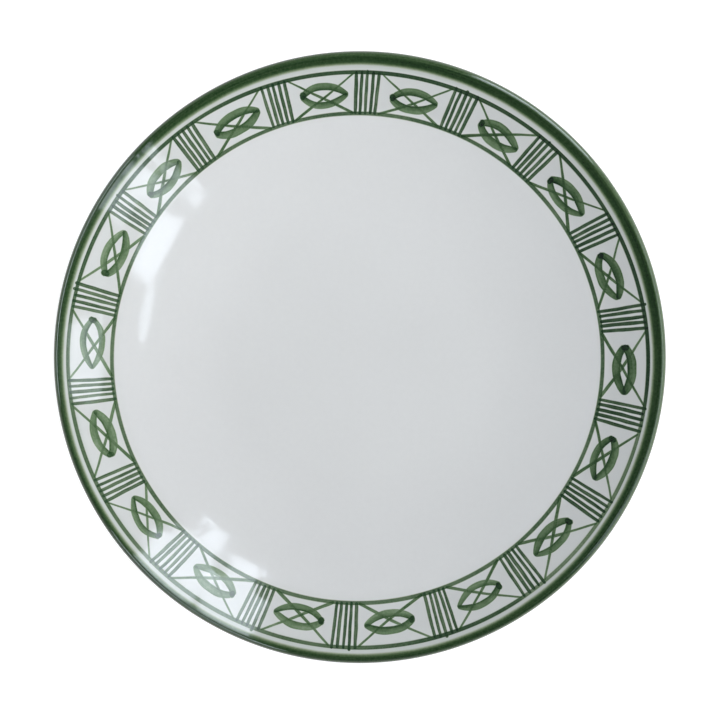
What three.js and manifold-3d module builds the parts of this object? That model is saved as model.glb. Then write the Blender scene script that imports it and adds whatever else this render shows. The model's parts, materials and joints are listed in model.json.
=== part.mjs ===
// A china dinner plate with a hand-painted green border, in the layers it is made of: the fired clay body
// with its foot ring, the white glaze over both, and the films of green colour brushed on the glaze.
import * as THREE from "three";
import { mergeVertices } from "three/addons/utils/BufferGeometryUtils.js";
import Module from "manifold-3d";

const wasm = await Module();
wasm.setup();

// Driving dimensions in millimetres. The plate stands face up on z = 0, with its axis on the Z axis.
const PLATE_RADIUS = 135; // finished radius, over glaze and colour
const WALL = 4.2; // thickness of the fired clay
const WELL_RADIUS = 55; // edge of the flat floor of the well, where the wall starts to curve up
const LIP_SLOPE = THREE.MathUtils.degToRad(22); // how steep the wall has become where it meets the lip
const FOOT_HEIGHT = 5;
const FOOT_RADIUS = 77.5; // outer radius of the foot ring, where it meets the back
const FOOT_WIDTH = 7; // width of the foot ring, where it meets the back
const FOOT_TAPER = 1.2; // how far each side of the ring leans in towards its standing edge
const FOOT_CHAMFER = 0.8; // bevel on both sides of the standing edge
const BACK_START = 78; // where the glazed back begins, just outside the foot ring
const GLAZE = 0.3; // thickness of the glaze
const COLOUR = 0.1; // thickness of the brushed colour
const GAP = 0.02; // left between neighbouring layers

// The painted border, laid out round its own centre: it sits a little to one side on the plate.
const BORDER_CENTRE = new THREE.Vector2(-1.0, -0.8);
const LINE_WIDTH = 1.5;
const INNER_LINE_RADIUS = 108.7;
const OUTER_LINE_RADIUS = 127.6;
const BAND_RADIUS = 130.7; // inner edge of the rim band
const GROUPS = 18; // groups of bars, with a panel after each
const GROUP_SPACING = 360 / GROUPS;
const FIRST_GROUP = 2.3; // even place of the first group, in degrees clockwise from +Y
// The hand-painted spacing: the groups crowd a little to one side, and stand loosely in pairs.
const GROUP_SWAY = 0.65; // degrees
const GROUP_SWAY_PHASE = 14; // degrees
const GROUP_PAIRING = 0.25; // degrees
const BARS_IN_GROUP = 5;
const BAR_SPACING = 1.16; // degrees between neighbouring bars
const BAR_LEAN = 0.35; // degrees from a bar's inner end on to its outer end
const BAR_WIDTH = 1.3;
const DIAGONAL_WIDTH = 1.0;
const DIAGONAL_CLEARANCE = 0.7; // from a diagonal's middle to the line or bar that it ends at
const ALMOND_RADIUS = 116; // where the almonds are centred
const ALMOND_HALF_LENGTH = 10.1;
const ALMOND_HALF_WIDTH = 5.4;
const ALMOND_STROKE = 2.7;
const ALMOND_POINT = 4; // length of the solid colour in each tip

// How finely the curves are cut.
const TURN_STEPS = 64;
const WALL_STEPS = 5;
const BACK_STEPS = 4;
const LIP_FACE_STEPS = 3;
const LIP_BACK_STEPS = 2;
const ALMOND_STEPS = 5;
const FILM_START_STEP = 3; // step of the wall, inside the inner line, where the colour film starts
const FILM_LIP_STEPS = LIP_FACE_STEPS + 1; // steps of the lip that it covers, to just past the widest point
const TALL = 40; // height of the upright cutters, above the lip

// Worked out from the driving dimensions.
const QUARTER = Math.PI / 2;
const GLAZE_TOP = GAP + GLAZE;
const COLOUR_BOTTOM = GLAZE_TOP + GAP;
const COLOUR_TOP = COLOUR_BOTTOM + COLOUR;
const FLOOR_Z = FOOT_HEIGHT + WALL;
const LIP_RADIUS = WALL / 2;
const LIP_CENTRE_R = PLATE_RADIUS - COLOUR_TOP - LIP_RADIUS;
const WALL_END_R = LIP_CENTRE_R - LIP_RADIUS * Math.sin(LIP_SLOPE);
const WALL_CURVE = (WALL_END_R - WELL_RADIUS) / Math.sin(LIP_SLOPE); // radius of the wall's arc, on the face
const WALL_CENTRE_Z = FLOOR_Z + WALL_CURVE;
const BACK_CURVE = WALL_CURVE + WALL; // the back's arc has the same centre, so the wall is even
const LIP_CENTRE_Z = WALL_CENTRE_Z - (WALL_CURVE + LIP_RADIUS) * Math.cos(LIP_SLOPE);
const BACK_START_ANGLE = Math.asin((BACK_START - WELL_RADIUS) / BACK_CURVE);

const glazeWhite = () => new THREE.MeshStandardMaterial({ color: 0xe4e7e8, roughness: 0.12, metalness: 0 });
const bareClay = () => new THREE.MeshStandardMaterial({ color: 0xd8d0c2, roughness: 0.8, metalness: 0 });
const bandGreen = () => new THREE.MeshStandardMaterial({ color: 0x35523a, roughness: 0.15, metalness: 0 });
const lineGreen = () => new THREE.MeshStandardMaterial({ color: 0x3d5a44, roughness: 0.15, metalness: 0 });
const washGreen = () => new THREE.MeshStandardMaterial({ color: 0x587058, roughness: 0.15, metalness: 0 });

// A point of the wall, on an arc of one radius round the centre that the face and the back share.
function wallPoint(radius, angle) {
  const r = WELL_RADIUS + radius * Math.sin(angle);
  return new THREE.Vector2(r, WALL_CENTRE_Z - radius * Math.cos(angle));
}

// The face of the clay moved out by an offset, as (radius, height) points from the well to the lip.
function facePath(offset) {
  const points = [];
  for (let i = 0; i <= WALL_STEPS; i++) {
    points.push(wallPoint(WALL_CURVE - offset, (LIP_SLOPE * i) / WALL_STEPS));
  }
  return points;
}

// Round the lip, from the face to the back. Both stretches meet at the widest point of the plate.
function lipPath(offset) {
  const angles = [];
  for (let i = 1; i <= LIP_FACE_STEPS; i++) angles.push((QUARTER + LIP_SLOPE) * (1 - i / LIP_FACE_STEPS));
  for (let i = 1; i < LIP_BACK_STEPS; i++) angles.push(((LIP_SLOPE - QUARTER) * i) / LIP_BACK_STEPS);
  const radius = LIP_RADIUS + offset;
  return angles.map((angle) => new THREE.Vector2(
    LIP_CENTRE_R + radius * Math.cos(angle),
    LIP_CENTRE_Z + radius * Math.sin(angle),
  ));
}

// Down the back, from the lip to just outside the foot ring.
function backPath(offset) {
  const points = [];
  for (let i = 0; i <= BACK_STEPS; i++) {
    const angle = THREE.MathUtils.lerp(LIP_SLOPE, BACK_START_ANGLE, i / BACK_STEPS);
    points.push(wallPoint(BACK_CURVE + offset, angle));
  }
  return points;
}

// Turns a profile given clockwise as (radius, height) points round the Z axis.
function turned(profile) {
  const geometry = new THREE.LatheGeometry([...profile].reverse(), TURN_STEPS);
  return geometry.rotateX(QUARTER);
}

function solidOf(geometry) {
  const bare = geometry.clone();
  bare.deleteAttribute("normal");
  bare.deleteAttribute("uv");
  const merged = mergeVertices(bare);
  const vertProperties = new Float32Array(merged.attributes.position.array);
  const triVerts = new Uint32Array(merged.index.array);
  return new wasm.Manifold(new wasm.Mesh({ numProp: 3, vertProperties, triVerts }));
}

function geometryOf(solid) {
  const mesh = solid.getMesh();
  const geometry = new THREE.BufferGeometry();
  geometry.setAttribute("position", new THREE.BufferAttribute(mesh.vertProperties, 3));
  geometry.setIndex(new THREE.BufferAttribute(mesh.triVerts, 1));
  geometry.computeVertexNormals();
  return geometry;
}

// A point of the border, from its angle in degrees clockwise from +Y and its radius.
function borderPoint(angle, radius) {
  const turn = THREE.MathUtils.degToRad(angle);
  return new THREE.Vector2(radius * Math.sin(turn), radius * Math.cos(turn)).add(BORDER_CENTRE);
}

// An upright cutter over an outline in the XY plane.
function upright(shape, curveSegments = 1) {
  return solidOf(new THREE.ExtrudeGeometry(shape, { depth: TALL, bevelEnabled: false, curveSegments }));
}

function circleOutline(Outline, radius) {
  return new Outline().absarc(BORDER_CENTRE.x, BORDER_CENTRE.y, radius, 0, 4 * QUARTER);
}

function lineCutter(radius) {
  const shape = circleOutline(THREE.Shape, radius + LINE_WIDTH / 2);
  shape.holes.push(circleOutline(THREE.Path, radius - LINE_WIDTH / 2));
  return upright(shape, TURN_STEPS);
}

function strokeCutter(start, end, width) {
  const along = end.clone().sub(start).setLength(width / 2);
  const left = new THREE.Vector2(-along.y, along.x);
  const right = new THREE.Vector2(along.y, -along.x);
  const corners = [
    start.clone().add(left),
    start.clone().add(right),
    end.clone().add(right),
    end.clone().add(left),
  ];
  return upright(new THREE.Shape(corners));
}

function groupAngle(index) {
  const place = GROUP_SPACING * index;
  const sway = GROUP_SWAY * Math.sin(THREE.MathUtils.degToRad(place + GROUP_SWAY_PHASE));
  const pairing = index % 2 === 0 ? -GROUP_PAIRING : GROUP_PAIRING;
  return FIRST_GROUP + place - sway + pairing;
}

function barCutters(group) {
  const bars = [];
  for (let i = 0; i < BARS_IN_GROUP; i++) {
    const angle = groupAngle(group) + (i - (BARS_IN_GROUP - 1) / 2) * BAR_SPACING;
    const foot = borderPoint(angle - BAR_LEAN / 2, INNER_LINE_RADIUS);
    const tip = borderPoint(angle + BAR_LEAN / 2, OUTER_LINE_RADIUS);
    bars.push(strokeCutter(foot, tip, BAR_WIDTH));
  }
  return bars;
}

// Half-width of a panel in degrees, from its middle to the nearest bar, at a radius.
function panelHalfAngle(panel, radius) {
  const bars = ((BARS_IN_GROUP - 1) / 2) * BAR_SPACING;
  const edge = THREE.MathUtils.radToDeg((BAR_WIDTH / 2 + DIAGONAL_CLEARANCE) / radius);
  return (groupAngle(panel + 1) - groupAngle(panel)) / 2 - bars - edge;
}

function diagonalCutters(panel) {
  const middle = (groupAngle(panel) + groupAngle(panel + 1)) / 2;
  const low = INNER_LINE_RADIUS + LINE_WIDTH / 2 + DIAGONAL_CLEARANCE;
  const high = OUTER_LINE_RADIUS - LINE_WIDTH / 2 - DIAGONAL_CLEARANCE;
  return [-1, 1].map((side) => strokeCutter(
    borderPoint(middle - side * panelHalfAngle(panel, low), low),
    borderPoint(middle + side * panelHalfAngle(panel, high), high),
    DIAGONAL_WIDTH,
  ));
}

// Points of a pointed oval round a place in the border, its length along the border.
function ovalPoints(angle, halfLength, halfWidth) {
  const arcRadius = (halfLength ** 2 + halfWidth ** 2) / (2 * halfWidth);
  const points = [];
  for (const side of [1, -1]) {
    for (let i = 0; i < ALMOND_STEPS; i++) {
      const x = side * halfLength * (1 - (2 * i) / ALMOND_STEPS);
      const y = side * (Math.sqrt(arcRadius ** 2 - x ** 2) - arcRadius + halfWidth);
      const middle = borderPoint(angle, ALMOND_RADIUS);
      const turn = -THREE.MathUtils.degToRad(angle);
      points.push(new THREE.Vector2(x, y).rotateAround(new THREE.Vector2(), turn).add(middle));
    }
  }
  return points;
}

function almondCutter(panel) {
  const angle = (groupAngle(panel) + groupAngle(panel + 1)) / 2;
  const shape = new THREE.Shape(ovalPoints(angle, ALMOND_HALF_LENGTH, ALMOND_HALF_WIDTH));
  const inside = ovalPoints(angle, ALMOND_HALF_LENGTH - ALMOND_POINT, ALMOND_HALF_WIDTH - ALMOND_STROKE);
  shape.holes.push(new THREE.Path(inside));
  return upright(shape);
}

function joined(solids) {
  return solids.reduce((sum, solid) => sum.add(solid));
}

function plateBody() {
  const axisTop = new THREE.Vector2(0, FLOOR_Z);
  const footSeat = new THREE.Vector2(FOOT_RADIUS, FOOT_HEIGHT);
  const axisBottom = new THREE.Vector2(0, FOOT_HEIGHT);
  return turned([axisTop, ...facePath(0), ...lipPath(0), ...backPath(0), footSeat, axisBottom]);
}

function footRing() {
  const top = FOOT_HEIGHT - GAP;
  const inner = FOOT_RADIUS - FOOT_WIDTH;
  const profile = [
    [inner, top],
    [FOOT_RADIUS, top],
    [FOOT_RADIUS - FOOT_TAPER, FOOT_CHAMFER],
    [FOOT_RADIUS - FOOT_TAPER - FOOT_CHAMFER, 0],
    [inner + FOOT_TAPER + FOOT_CHAMFER, 0],
    [inner + FOOT_TAPER, FOOT_CHAMFER],
    [inner, top],
  ];
  return turned(profile.map(([r, z]) => new THREE.Vector2(r, z)));
}

function glazeCoat() {
  const path = (offset) => [...facePath(offset), ...lipPath(offset), ...backPath(offset)];
  const top = new THREE.Vector2(0, FLOOR_Z + GLAZE_TOP);
  const bottom = new THREE.Vector2(0, FLOOR_Z + GAP);
  return turned([top, ...path(GLAZE_TOP), ...path(GAP).reverse(), bottom]);
}

function footRecessGlaze() {
  const edge = FOOT_RADIUS - FOOT_WIDTH - GAP;
  const top = FOOT_HEIGHT - GAP;
  const profile = [[0, top], [edge, top], [edge, top - GLAZE], [0, top - GLAZE]];
  return turned(profile.map(([r, z]) => new THREE.Vector2(r, z)));
}

// The colour film that the border is cut from: the outer part of the wall and the lip's upper side.
function rimFilm() {
  const path = (offset) => [
    ...facePath(offset).slice(FILM_START_STEP),
    ...lipPath(offset).slice(0, FILM_LIP_STEPS),
  ];
  const top = path(COLOUR_TOP);
  return solidOf(turned([...top, ...path(COLOUR_BOTTOM).reverse(), top[0]]));
}

const film = rimFilm();

function rimBand() {
  return geometryOf(film.subtract(upright(circleOutline(THREE.Shape, BAND_RADIUS), TURN_STEPS)));
}

function borderLinesAndBars() {
  const strokes = [lineCutter(INNER_LINE_RADIUS), lineCutter(OUTER_LINE_RADIUS)];
  for (let group = 0; group < GROUPS; group++) strokes.push(...barCutters(group));
  return geometryOf(film.intersect(joined(strokes)));
}

function almondMotif(panel) {
  return geometryOf(film.intersect(joined([almondCutter(panel), ...diagonalCutters(panel)])));
}

const plate = new THREE.Group();

function addPiece(name, geometry, material) {
  const mesh = new THREE.Mesh(geometry, material);
  mesh.name = name;
  plate.add(mesh);
}

addPiece("plate_body", plateBody(), bareClay());
addPiece("foot_ring", footRing(), bareClay());
addPiece("glaze_coat", glazeCoat(), glazeWhite());
addPiece("foot_recess_glaze", footRecessGlaze(), glazeWhite());
addPiece("rim_band", rimBand(), bandGreen());
addPiece("border_lines_and_bars", borderLinesAndBars(), lineGreen());
for (let panel = 0; panel < GROUPS; panel++) {
  addPiece(`almond_motif_${String(panel + 1).padStart(2, "0")}`, almondMotif(panel), washGreen());
}

export default plate;
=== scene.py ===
"""Looks of a glazed china dinner plate with a hand-painted green border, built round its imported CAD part."""

import json
import math
import random

import bpy
import numpy as np
from mathutils import Matrix, Vector, noise


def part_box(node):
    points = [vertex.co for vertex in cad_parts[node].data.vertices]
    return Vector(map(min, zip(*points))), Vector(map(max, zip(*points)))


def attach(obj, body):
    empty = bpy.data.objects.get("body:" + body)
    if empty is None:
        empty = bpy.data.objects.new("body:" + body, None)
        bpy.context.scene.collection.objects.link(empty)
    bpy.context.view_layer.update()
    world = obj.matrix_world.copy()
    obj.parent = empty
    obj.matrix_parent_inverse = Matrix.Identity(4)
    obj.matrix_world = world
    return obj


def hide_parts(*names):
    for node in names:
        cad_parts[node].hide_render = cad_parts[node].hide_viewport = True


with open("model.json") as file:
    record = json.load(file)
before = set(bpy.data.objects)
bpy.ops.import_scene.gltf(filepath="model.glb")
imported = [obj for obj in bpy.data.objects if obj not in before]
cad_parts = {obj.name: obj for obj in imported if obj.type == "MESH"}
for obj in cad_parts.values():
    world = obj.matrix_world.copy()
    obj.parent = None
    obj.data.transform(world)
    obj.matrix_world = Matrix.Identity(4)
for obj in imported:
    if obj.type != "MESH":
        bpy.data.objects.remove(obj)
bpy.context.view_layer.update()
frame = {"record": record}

MM = 0.001
SEED = 20

# Sizes in millimetres. The outline comes from the CAD. The section is the CAD's, but for a fuller lip.
GLAZE_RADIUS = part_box("glaze_coat")[1].x / MM
FLOOR_TOP = frame["record"]["mounts"][1]["pos_m"][2] / MM
FOOT_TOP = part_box("foot_ring")[1].z / MM
FOOT_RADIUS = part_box("foot_ring")[1].x / MM
FOOT_WIDTH = 7.0
WELL_RADIUS = 55.0
WALL = 4.2
GLAZE = 0.32
LIP_SLOPE = math.radians(22.2)
LIP_ACROSS = WALL / 2 + GLAZE
LIP_OUT = 1.5  # how far the lip's half-ellipse stands out from its middle
LIP_CENTRE_R = GLAZE_RADIUS - math.hypot(LIP_OUT * math.cos(LIP_SLOPE), LIP_ACROSS * math.sin(LIP_SLOPE))
WALL_END_R = LIP_CENTRE_R - LIP_ACROSS * math.sin(LIP_SLOPE)
WALL_CURVE = (WALL_END_R - WELL_RADIUS) / math.sin(LIP_SLOPE)
WALL_CENTRE_Z = FLOOR_TOP + WALL_CURVE
LIP_CENTRE_Z = WALL_CENTRE_Z - (WALL_CURVE + LIP_ACROSS) * math.cos(LIP_SLOPE)
BACK_CURVE = WALL_CURVE + 2 * LIP_ACROSS
MIDDLE_CURVE = WALL_CURVE + LIP_ACROSS
BACK_START = 78.5  # radius at which the back meets the foot ring
CLAY_GAP = 0.02

# The painted border, about its own centre. Angles are in degrees clockwise from +Y.
BORDER_CENTRE = np.array([-1.0, -0.8])
LINE_WIDTH = 1.5
GROUPS = 18
GROUP_SPACING = 360 / GROUPS
FIRST_GROUP = 2.3
GROUP_SWAY = 0.65
GROUP_SWAY_PHASE = 14
GROUP_PAIRING = 0.25
BARS = 5
BAR_SPACING = 1.16
BAR_LEAN = 0.35
BAR_WIDTH = 1.3
ALMOND_DROP = 0.9
ALMOND_SHIFT = 0.5
ALMOND_REACH = 10.4
ALMOND_RISE = 3.85
ALMOND_STROKE = 3.0
ALMOND_OVERSHOOT = 1.04  # the arcs cross a little past their points
DAB_LENGTH = 3.5
DAB_WIDTH = 2.7
BACKWARD_ALMOND = 13  # the panel whose almond was begun at its other end

# The painted rings: radius, how far each leans to the right and up, how oval it is, and the oval's direction.
INNER_RING = (108.45, (-0.04, 0.31), 0.13, 90)
OUTER_RING = (127.25, (0.23, -0.36), 0.55, 103)
BAND_RING = (130.1, (0.23, -0.30), 0.0, 0)
BAND_DIP = 0.45
BAND_DIP_ANGLE = 200
BAND_DIP_SPREAD = 28


def ring_radius(angle, radius, shift, oval, oval_angle):
    """Radius of a hand-turned ring about the border's centre: a little off centre and a little oval."""
    turn = np.radians(angle)
    lean = shift[0] * np.sin(turn) + shift[1] * np.cos(turn)
    return radius + lean + oval * np.cos(2 * (turn - math.radians(oval_angle)))


def inner_radius(angle):
    return ring_radius(angle, *INNER_RING)


def outer_radius(angle):
    return ring_radius(angle, *OUTER_RING)


def band_radius(angle):
    dip = BAND_DIP * np.exp(-((angle % 360 - BAND_DIP_ANGLE) / BAND_DIP_SPREAD) ** 2)
    return ring_radius(angle, *BAND_RING) - dip


# ---- the glaze surface

def face_height(r):
    """Height of the glazed face at a distance from the axis, flat in the well and then one arc."""
    reach = np.clip(np.asarray(r, float) - WELL_RADIUS, 0, WALL_END_R - WELL_RADIUS)
    return WALL_CENTRE_Z - np.sqrt(WALL_CURVE ** 2 - reach ** 2)


def face_normals(xy):
    """Normals of the glazed face at points in plan."""
    r = np.maximum(np.hypot(xy[:, 0], xy[:, 1]), 1e-9)
    lean = np.clip(r - WELL_RADIUS, 0, WALL_END_R - WELL_RADIUS) / WALL_CURVE
    return np.column_stack([-xy[:, 0] / r * lean, -xy[:, 1] / r * lean, np.sqrt(1 - lean ** 2)])


def arc(radius, start, end, steps, centre_r=WELL_RADIUS, centre_z=WALL_CENTRE_Z):
    """Points of a wall arc, its angles from straight down."""
    turns = np.linspace(start, end, steps + 1)
    return [(centre_r + radius * math.sin(t), centre_z - radius * math.cos(t)) for t in turns]


def lip_frame(out, across):
    """Radius and height from the middle of the lip, for distances out along the wall and across it."""
    r = out * math.cos(LIP_SLOPE) - across * math.sin(LIP_SLOPE)
    z = out * math.sin(LIP_SLOPE) + across * math.cos(LIP_SLOPE)
    return r, z


def lip(inset, steps, end=-math.pi / 2):
    """Points round the lip from face to back: half an ellipse as deep as the wall, moved in by an inset."""
    points = []
    for t in np.linspace(math.pi / 2, end, steps + 1):
        r, z = lip_frame((LIP_OUT - inset) * math.cos(t), (LIP_ACROSS - inset) * math.sin(t))
        points.append((LIP_CENTRE_R + r, LIP_CENTRE_Z + z))
    return points


def lip_normals(steps, end):
    """The lip's normals, as radius and height, at the points that lip gives."""
    normals = []
    for t in np.linspace(math.pi / 2, end, steps + 1):
        r, z = lip_frame(math.cos(t) / LIP_OUT, math.sin(t) / LIP_ACROSS)
        length = math.hypot(r, z)
        normals.append((r / length, z / length))
    return normals


def back_angle(r, curve):
    return math.asin((r - WELL_RADIUS) / curve)


def level(r0, r1, z, steps):
    return [(r, z) for r in np.linspace(r0, r1, steps + 1)]


# ---- meshes

def add_piece(name, verts, faces, material, nodes, normals=None, pigment=None):
    """A smooth mesh from points in millimetres, riding on the root, that stands for CAD nodes."""
    mesh = bpy.data.meshes.new(name)
    mesh.from_pydata((np.asarray(verts) * MM).tolist(), [], faces)
    mesh.update()
    mesh.polygons.foreach_set("use_smooth", [True] * len(mesh.polygons))
    if pigment is not None:
        depth = mesh.attributes.new("pigment", "FLOAT", "POINT")
        depth.data.foreach_set("value", np.asarray(pigment, np.float32))
    if normals is not None:
        mesh.normals_split_custom_set_from_vertices(np.asarray(normals).tolist())
    mesh.materials.append(material)
    piece = bpy.data.objects.new(name, mesh)
    bpy.context.scene.collection.objects.link(piece)
    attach(piece, "root")
    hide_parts(*nodes)
    return piece


ON_AXIS = 1e-6


def lathe(profile, steps):
    """Turns a closed profile given clockwise as (radius, height) points. Points on the axis become poles."""
    turns = np.arange(steps) * 2 * math.pi / steps
    ring = np.column_stack([np.sin(turns), np.cos(turns)])
    verts, first = [], []
    for r, z in profile:
        first.append(len(verts))
        if r < ON_AXIS:
            verts.append((0.0, 0.0, z))
        else:
            verts.extend((r * x, r * y, z) for x, y in ring)
    faces = []
    for i in range(len(profile)):
        j = (i + 1) % len(profile)
        a, b = first[i], first[j]
        pole_a, pole_b = profile[i][0] < ON_AXIS, profile[j][0] < ON_AXIS
        if pole_a and pole_b:
            continue
        for k in range(steps):
            n = (k + 1) % steps
            if pole_a:
                faces.append((a, b + k, b + n))
            elif pole_b:
                faces.append((a + k, b, a + n))
            else:
                faces.append((a + k, b + k, b + n, a + n))
    return verts, [f[::-1] for f in faces]


# ---- materials

def node_tree(owner):
    tree = owner.node_tree
    tree.nodes.clear()
    return tree


def add(tree, kind, **inputs):
    node = tree.nodes.new("ShaderNode" + kind)
    for key, value in inputs.items():
        node.inputs[key].default_value = value
    return node


def math_node(tree, operation, *values):
    node = tree.nodes.new("ShaderNodeMath")
    node.operation = operation
    for socket, value in zip(node.inputs, values):
        if isinstance(value, (int, float)):
            socket.default_value = value
        else:
            tree.links.new(value, socket)
    return node.outputs[0]


def ramp_node(tree, factor, stops, smooth=False):
    node = tree.nodes.new("ShaderNodeValToRGB")
    node.color_ramp.interpolation = "EASE" if smooth else "LINEAR"
    while len(node.color_ramp.elements) < len(stops):
        node.color_ramp.elements.new(0.5)
    for element, (place, colour) in zip(node.color_ramp.elements, stops):
        element.position = place
        element.color = (*colour, 1)
    tree.links.new(factor, node.inputs["Fac"])
    return node.outputs["Color"]


def finish(tree, shader):
    out = tree.nodes.new("ShaderNodeOutputMaterial")
    tree.links.new(shader.outputs[0], out.inputs["Surface"])


def multiply(tree, a, b, factor=None):
    node = tree.nodes.new("ShaderNodeMix")
    node.data_type = "RGBA"
    node.blend_type = "MULTIPLY"
    node.inputs["Factor"].default_value = 1
    if factor is not None:
        tree.links.new(factor, node.inputs["Factor"])
    tree.links.new(a, node.inputs["A"])
    tree.links.new(b, node.inputs["B"])
    return node.outputs["Result"]


def noise_node(tree, vector, scale, detail=2.0, rough=0.5):
    node = add(tree, "TexNoise", Scale=scale, Detail=detail, Roughness=rough)
    tree.links.new(vector, node.inputs["Vector"])
    return node.outputs["Fac"]


# Distances in materials are in metres.
CLEAR = (1, 1, 1)
NOISE_LOW, NOISE_HIGH = 0.3, 0.7  # between these lies nearly all of a noise
GLAZE_WHITE = (0.809, 0.810, 0.802)
GLAZE_UNEVEN = 0.015
CLOUD_SCALE = 14
FINE_SCALE = 420
MOTTLE_SCALE = 900
# Painted shade: the border's colour is darkened, least on the left and most on the right.
BORDER_SHADE_RIGHT = (0.850, 0.860, 0.851)
BORDER_SHADE_LEFT = (0.926, 0.938, 0.928)
BORDER_SHADE_START, BORDER_SHADE_END = 0.104, 0.113
BORDER_SHADE_SPAN = 0.24
# The rim band's green has bled a little into the glaze round it.
RIM_BLEED = (0.86, 0.89, 0.865)
BLEED_START, BLEED_END = 0.1255, 0.1285
# Painted shade for the back of the plate: its glaze is coloured darker than the face's.
BACK_PAINTED_SHADE = (0.80, 0.803, 0.797)
SPECK_SCALE = 52
SPECK_RADIUS = 0.014  # as a share of a cell
SPECK_RARITY = 0.86
SPECK_TINT = (0.62, 0.66, 0.66)
WAVE_SCALE = 60
RIPPLE_SCALE = 190
RIPPLE_SHARE = 0.22


def slide(tree, value, start, end):
    """How far a value has gone from a start to an end, from 0 to 1 and past both."""
    return math_node(tree, "DIVIDE", math_node(tree, "SUBTRACT", value, start), end - start)


def face_mask(group, place, radius):
    """1 on the face of the plate and 0 on its back, parted by the surface in the middle of the wall."""
    reach = math_node(group, "MAXIMUM", math_node(group, "SUBTRACT", radius, WELL_RADIUS * MM), 0)
    reach = math_node(group, "POWER", reach, 2)
    drop = math_node(group, "SQRT", math_node(group, "SUBTRACT", (MIDDLE_CURVE * MM) ** 2, reach))
    middle = math_node(group, "SUBTRACT", WALL_CENTRE_Z * MM, drop)
    return math_node(group, "GREATER_THAN", place.outputs["Z"], middle)


def speck_colour(group, place):
    """Sparse small grey specks fired into the glaze."""
    cells = add(group, "TexVoronoi", Scale=SPECK_SCALE, Randomness=1)
    group.links.new(place, cells.inputs["Vector"])
    near = math_node(group, "LESS_THAN", cells.outputs["Distance"], SPECK_RADIUS)
    tint = add(group, "SeparateColor")
    group.links.new(cells.outputs["Color"], tint.inputs["Color"])
    chosen = math_node(group, "GREATER_THAN", tint.outputs["Red"], SPECK_RARITY)
    return ramp_node(group, math_node(group, "MULTIPLY", near, chosen), [(0, CLEAR), (1, SPECK_TINT)])


def glaze_group():
    """The white glaze's colour and surface, shared by all glazed pieces, which match where they meet. The
    colour holds painted shade over the border and on the back.
    """
    group = bpy.data.node_groups.new("glaze", "ShaderNodeTree")
    for name, kind in (("Color", "Color"), ("Height", "Float"), ("Mottle", "Float")):
        group.interface.new_socket(name, in_out="OUTPUT", socket_type="NodeSocket" + kind)
    out = group.nodes.new("NodeGroupOutput")
    place = group.nodes.new("ShaderNodeTexCoord").outputs["Object"]

    low = [c * (1 - GLAZE_UNEVEN) for c in GLAZE_WHITE]
    high = [c * (1 + GLAZE_UNEVEN) for c in GLAZE_WHITE]
    clouds = noise_node(group, place, CLOUD_SCALE, 3)
    clouds = ramp_node(group, clouds, [(NOISE_LOW, low), (NOISE_HIGH, high)])
    grain = [(NOISE_LOW, (1 - GLAZE_UNEVEN,) * 3), (NOISE_HIGH, CLEAR)]
    fine = ramp_node(group, noise_node(group, place, FINE_SCALE, 3, 0.6), grain)

    split = add(group, "SeparateXYZ")
    group.links.new(place, split.inputs[0])
    across = math_node(group, "POWER", split.outputs["X"], 2)
    along = math_node(group, "POWER", split.outputs["Y"], 2)
    radius = math_node(group, "SQRT", math_node(group, "ADD", across, along))
    face = face_mask(group, split, radius)
    # Painted shade: the back of the plate is coloured darker than the face.
    shade = ramp_node(group, face, [(0, BACK_PAINTED_SHADE), (1, CLEAR)])
    # Painted shade: the border is darkened from the well's edge outwards, more on the right than on the left.
    spread = slide(group, radius, BORDER_SHADE_START, BORDER_SHADE_END)
    spread = ramp_node(group, spread, [(0, (0, 0, 0)), (1, CLEAR)], smooth=True)
    spread = math_node(group, "MULTIPLY", spread, face)
    side = math_node(group, "MULTIPLY_ADD", split.outputs["X"], 1 / BORDER_SHADE_SPAN, 0.5)
    border_shade = ramp_node(group, side, [(0, BORDER_SHADE_LEFT), (1, BORDER_SHADE_RIGHT)])
    bleed = slide(group, radius, BLEED_START, BLEED_END)
    bleed = ramp_node(group, bleed, [(0, CLEAR), (1, RIM_BLEED)], smooth=True)

    colour = multiply(group, multiply(group, clouds, fine), shade)
    colour = multiply(group, colour, border_shade, spread)
    colour = multiply(group, multiply(group, colour, bleed, face), speck_colour(group, place))
    group.links.new(colour, out.inputs["Color"])
    waves = noise_node(group, place, WAVE_SCALE, 2)
    ripple = math_node(group, "MULTIPLY", noise_node(group, place, RIPPLE_SCALE, 2), RIPPLE_SHARE)
    group.links.new(math_node(group, "ADD", waves, ripple), out.inputs["Height"])
    group.links.new(noise_node(group, place, MOTTLE_SCALE, 2, 0.6), out.inputs["Mottle"])
    return group


GLAZE_ROUGHNESS = 0.06
GLAZE_IOR = 1.5
WAVE_HEIGHT = 0.00010


def glossy_shader(tree, shared):
    """A glossy fired glaze over whatever colour is linked in, with the shared ripple of the surface."""
    bump = add(tree, "Bump", Strength=1.0, Distance=WAVE_HEIGHT)
    tree.links.new(shared.outputs["Height"], bump.inputs["Height"])
    shader = add(tree, "BsdfPrincipled", Roughness=GLAZE_ROUGHNESS, IOR=GLAZE_IOR)
    tree.links.new(bump.outputs["Normal"], shader.inputs["Normal"])
    finish(tree, shader)
    return shader


def new_material(name):
    material = bpy.data.materials.new(name)
    material.use_nodes = True
    return material, node_tree(material)


def shared_glaze(tree, group):
    node = tree.nodes.new("ShaderNodeGroup")
    node.node_tree = group
    return node


def glaze_material(group):
    material, tree = new_material("white_glaze")
    shared = shared_glaze(tree, group)
    shader = glossy_shader(tree, shared)
    tree.links.new(shared.outputs["Color"], shader.inputs["Base Color"])
    return material


# Brushed colour: its depth at the ramp's end, and how the grain of the glaze makes that depth vary.
DEEPEST = 3.2
GRAIN_SPREAD = 0.5
GRAIN_LOW = 0.75


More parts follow.
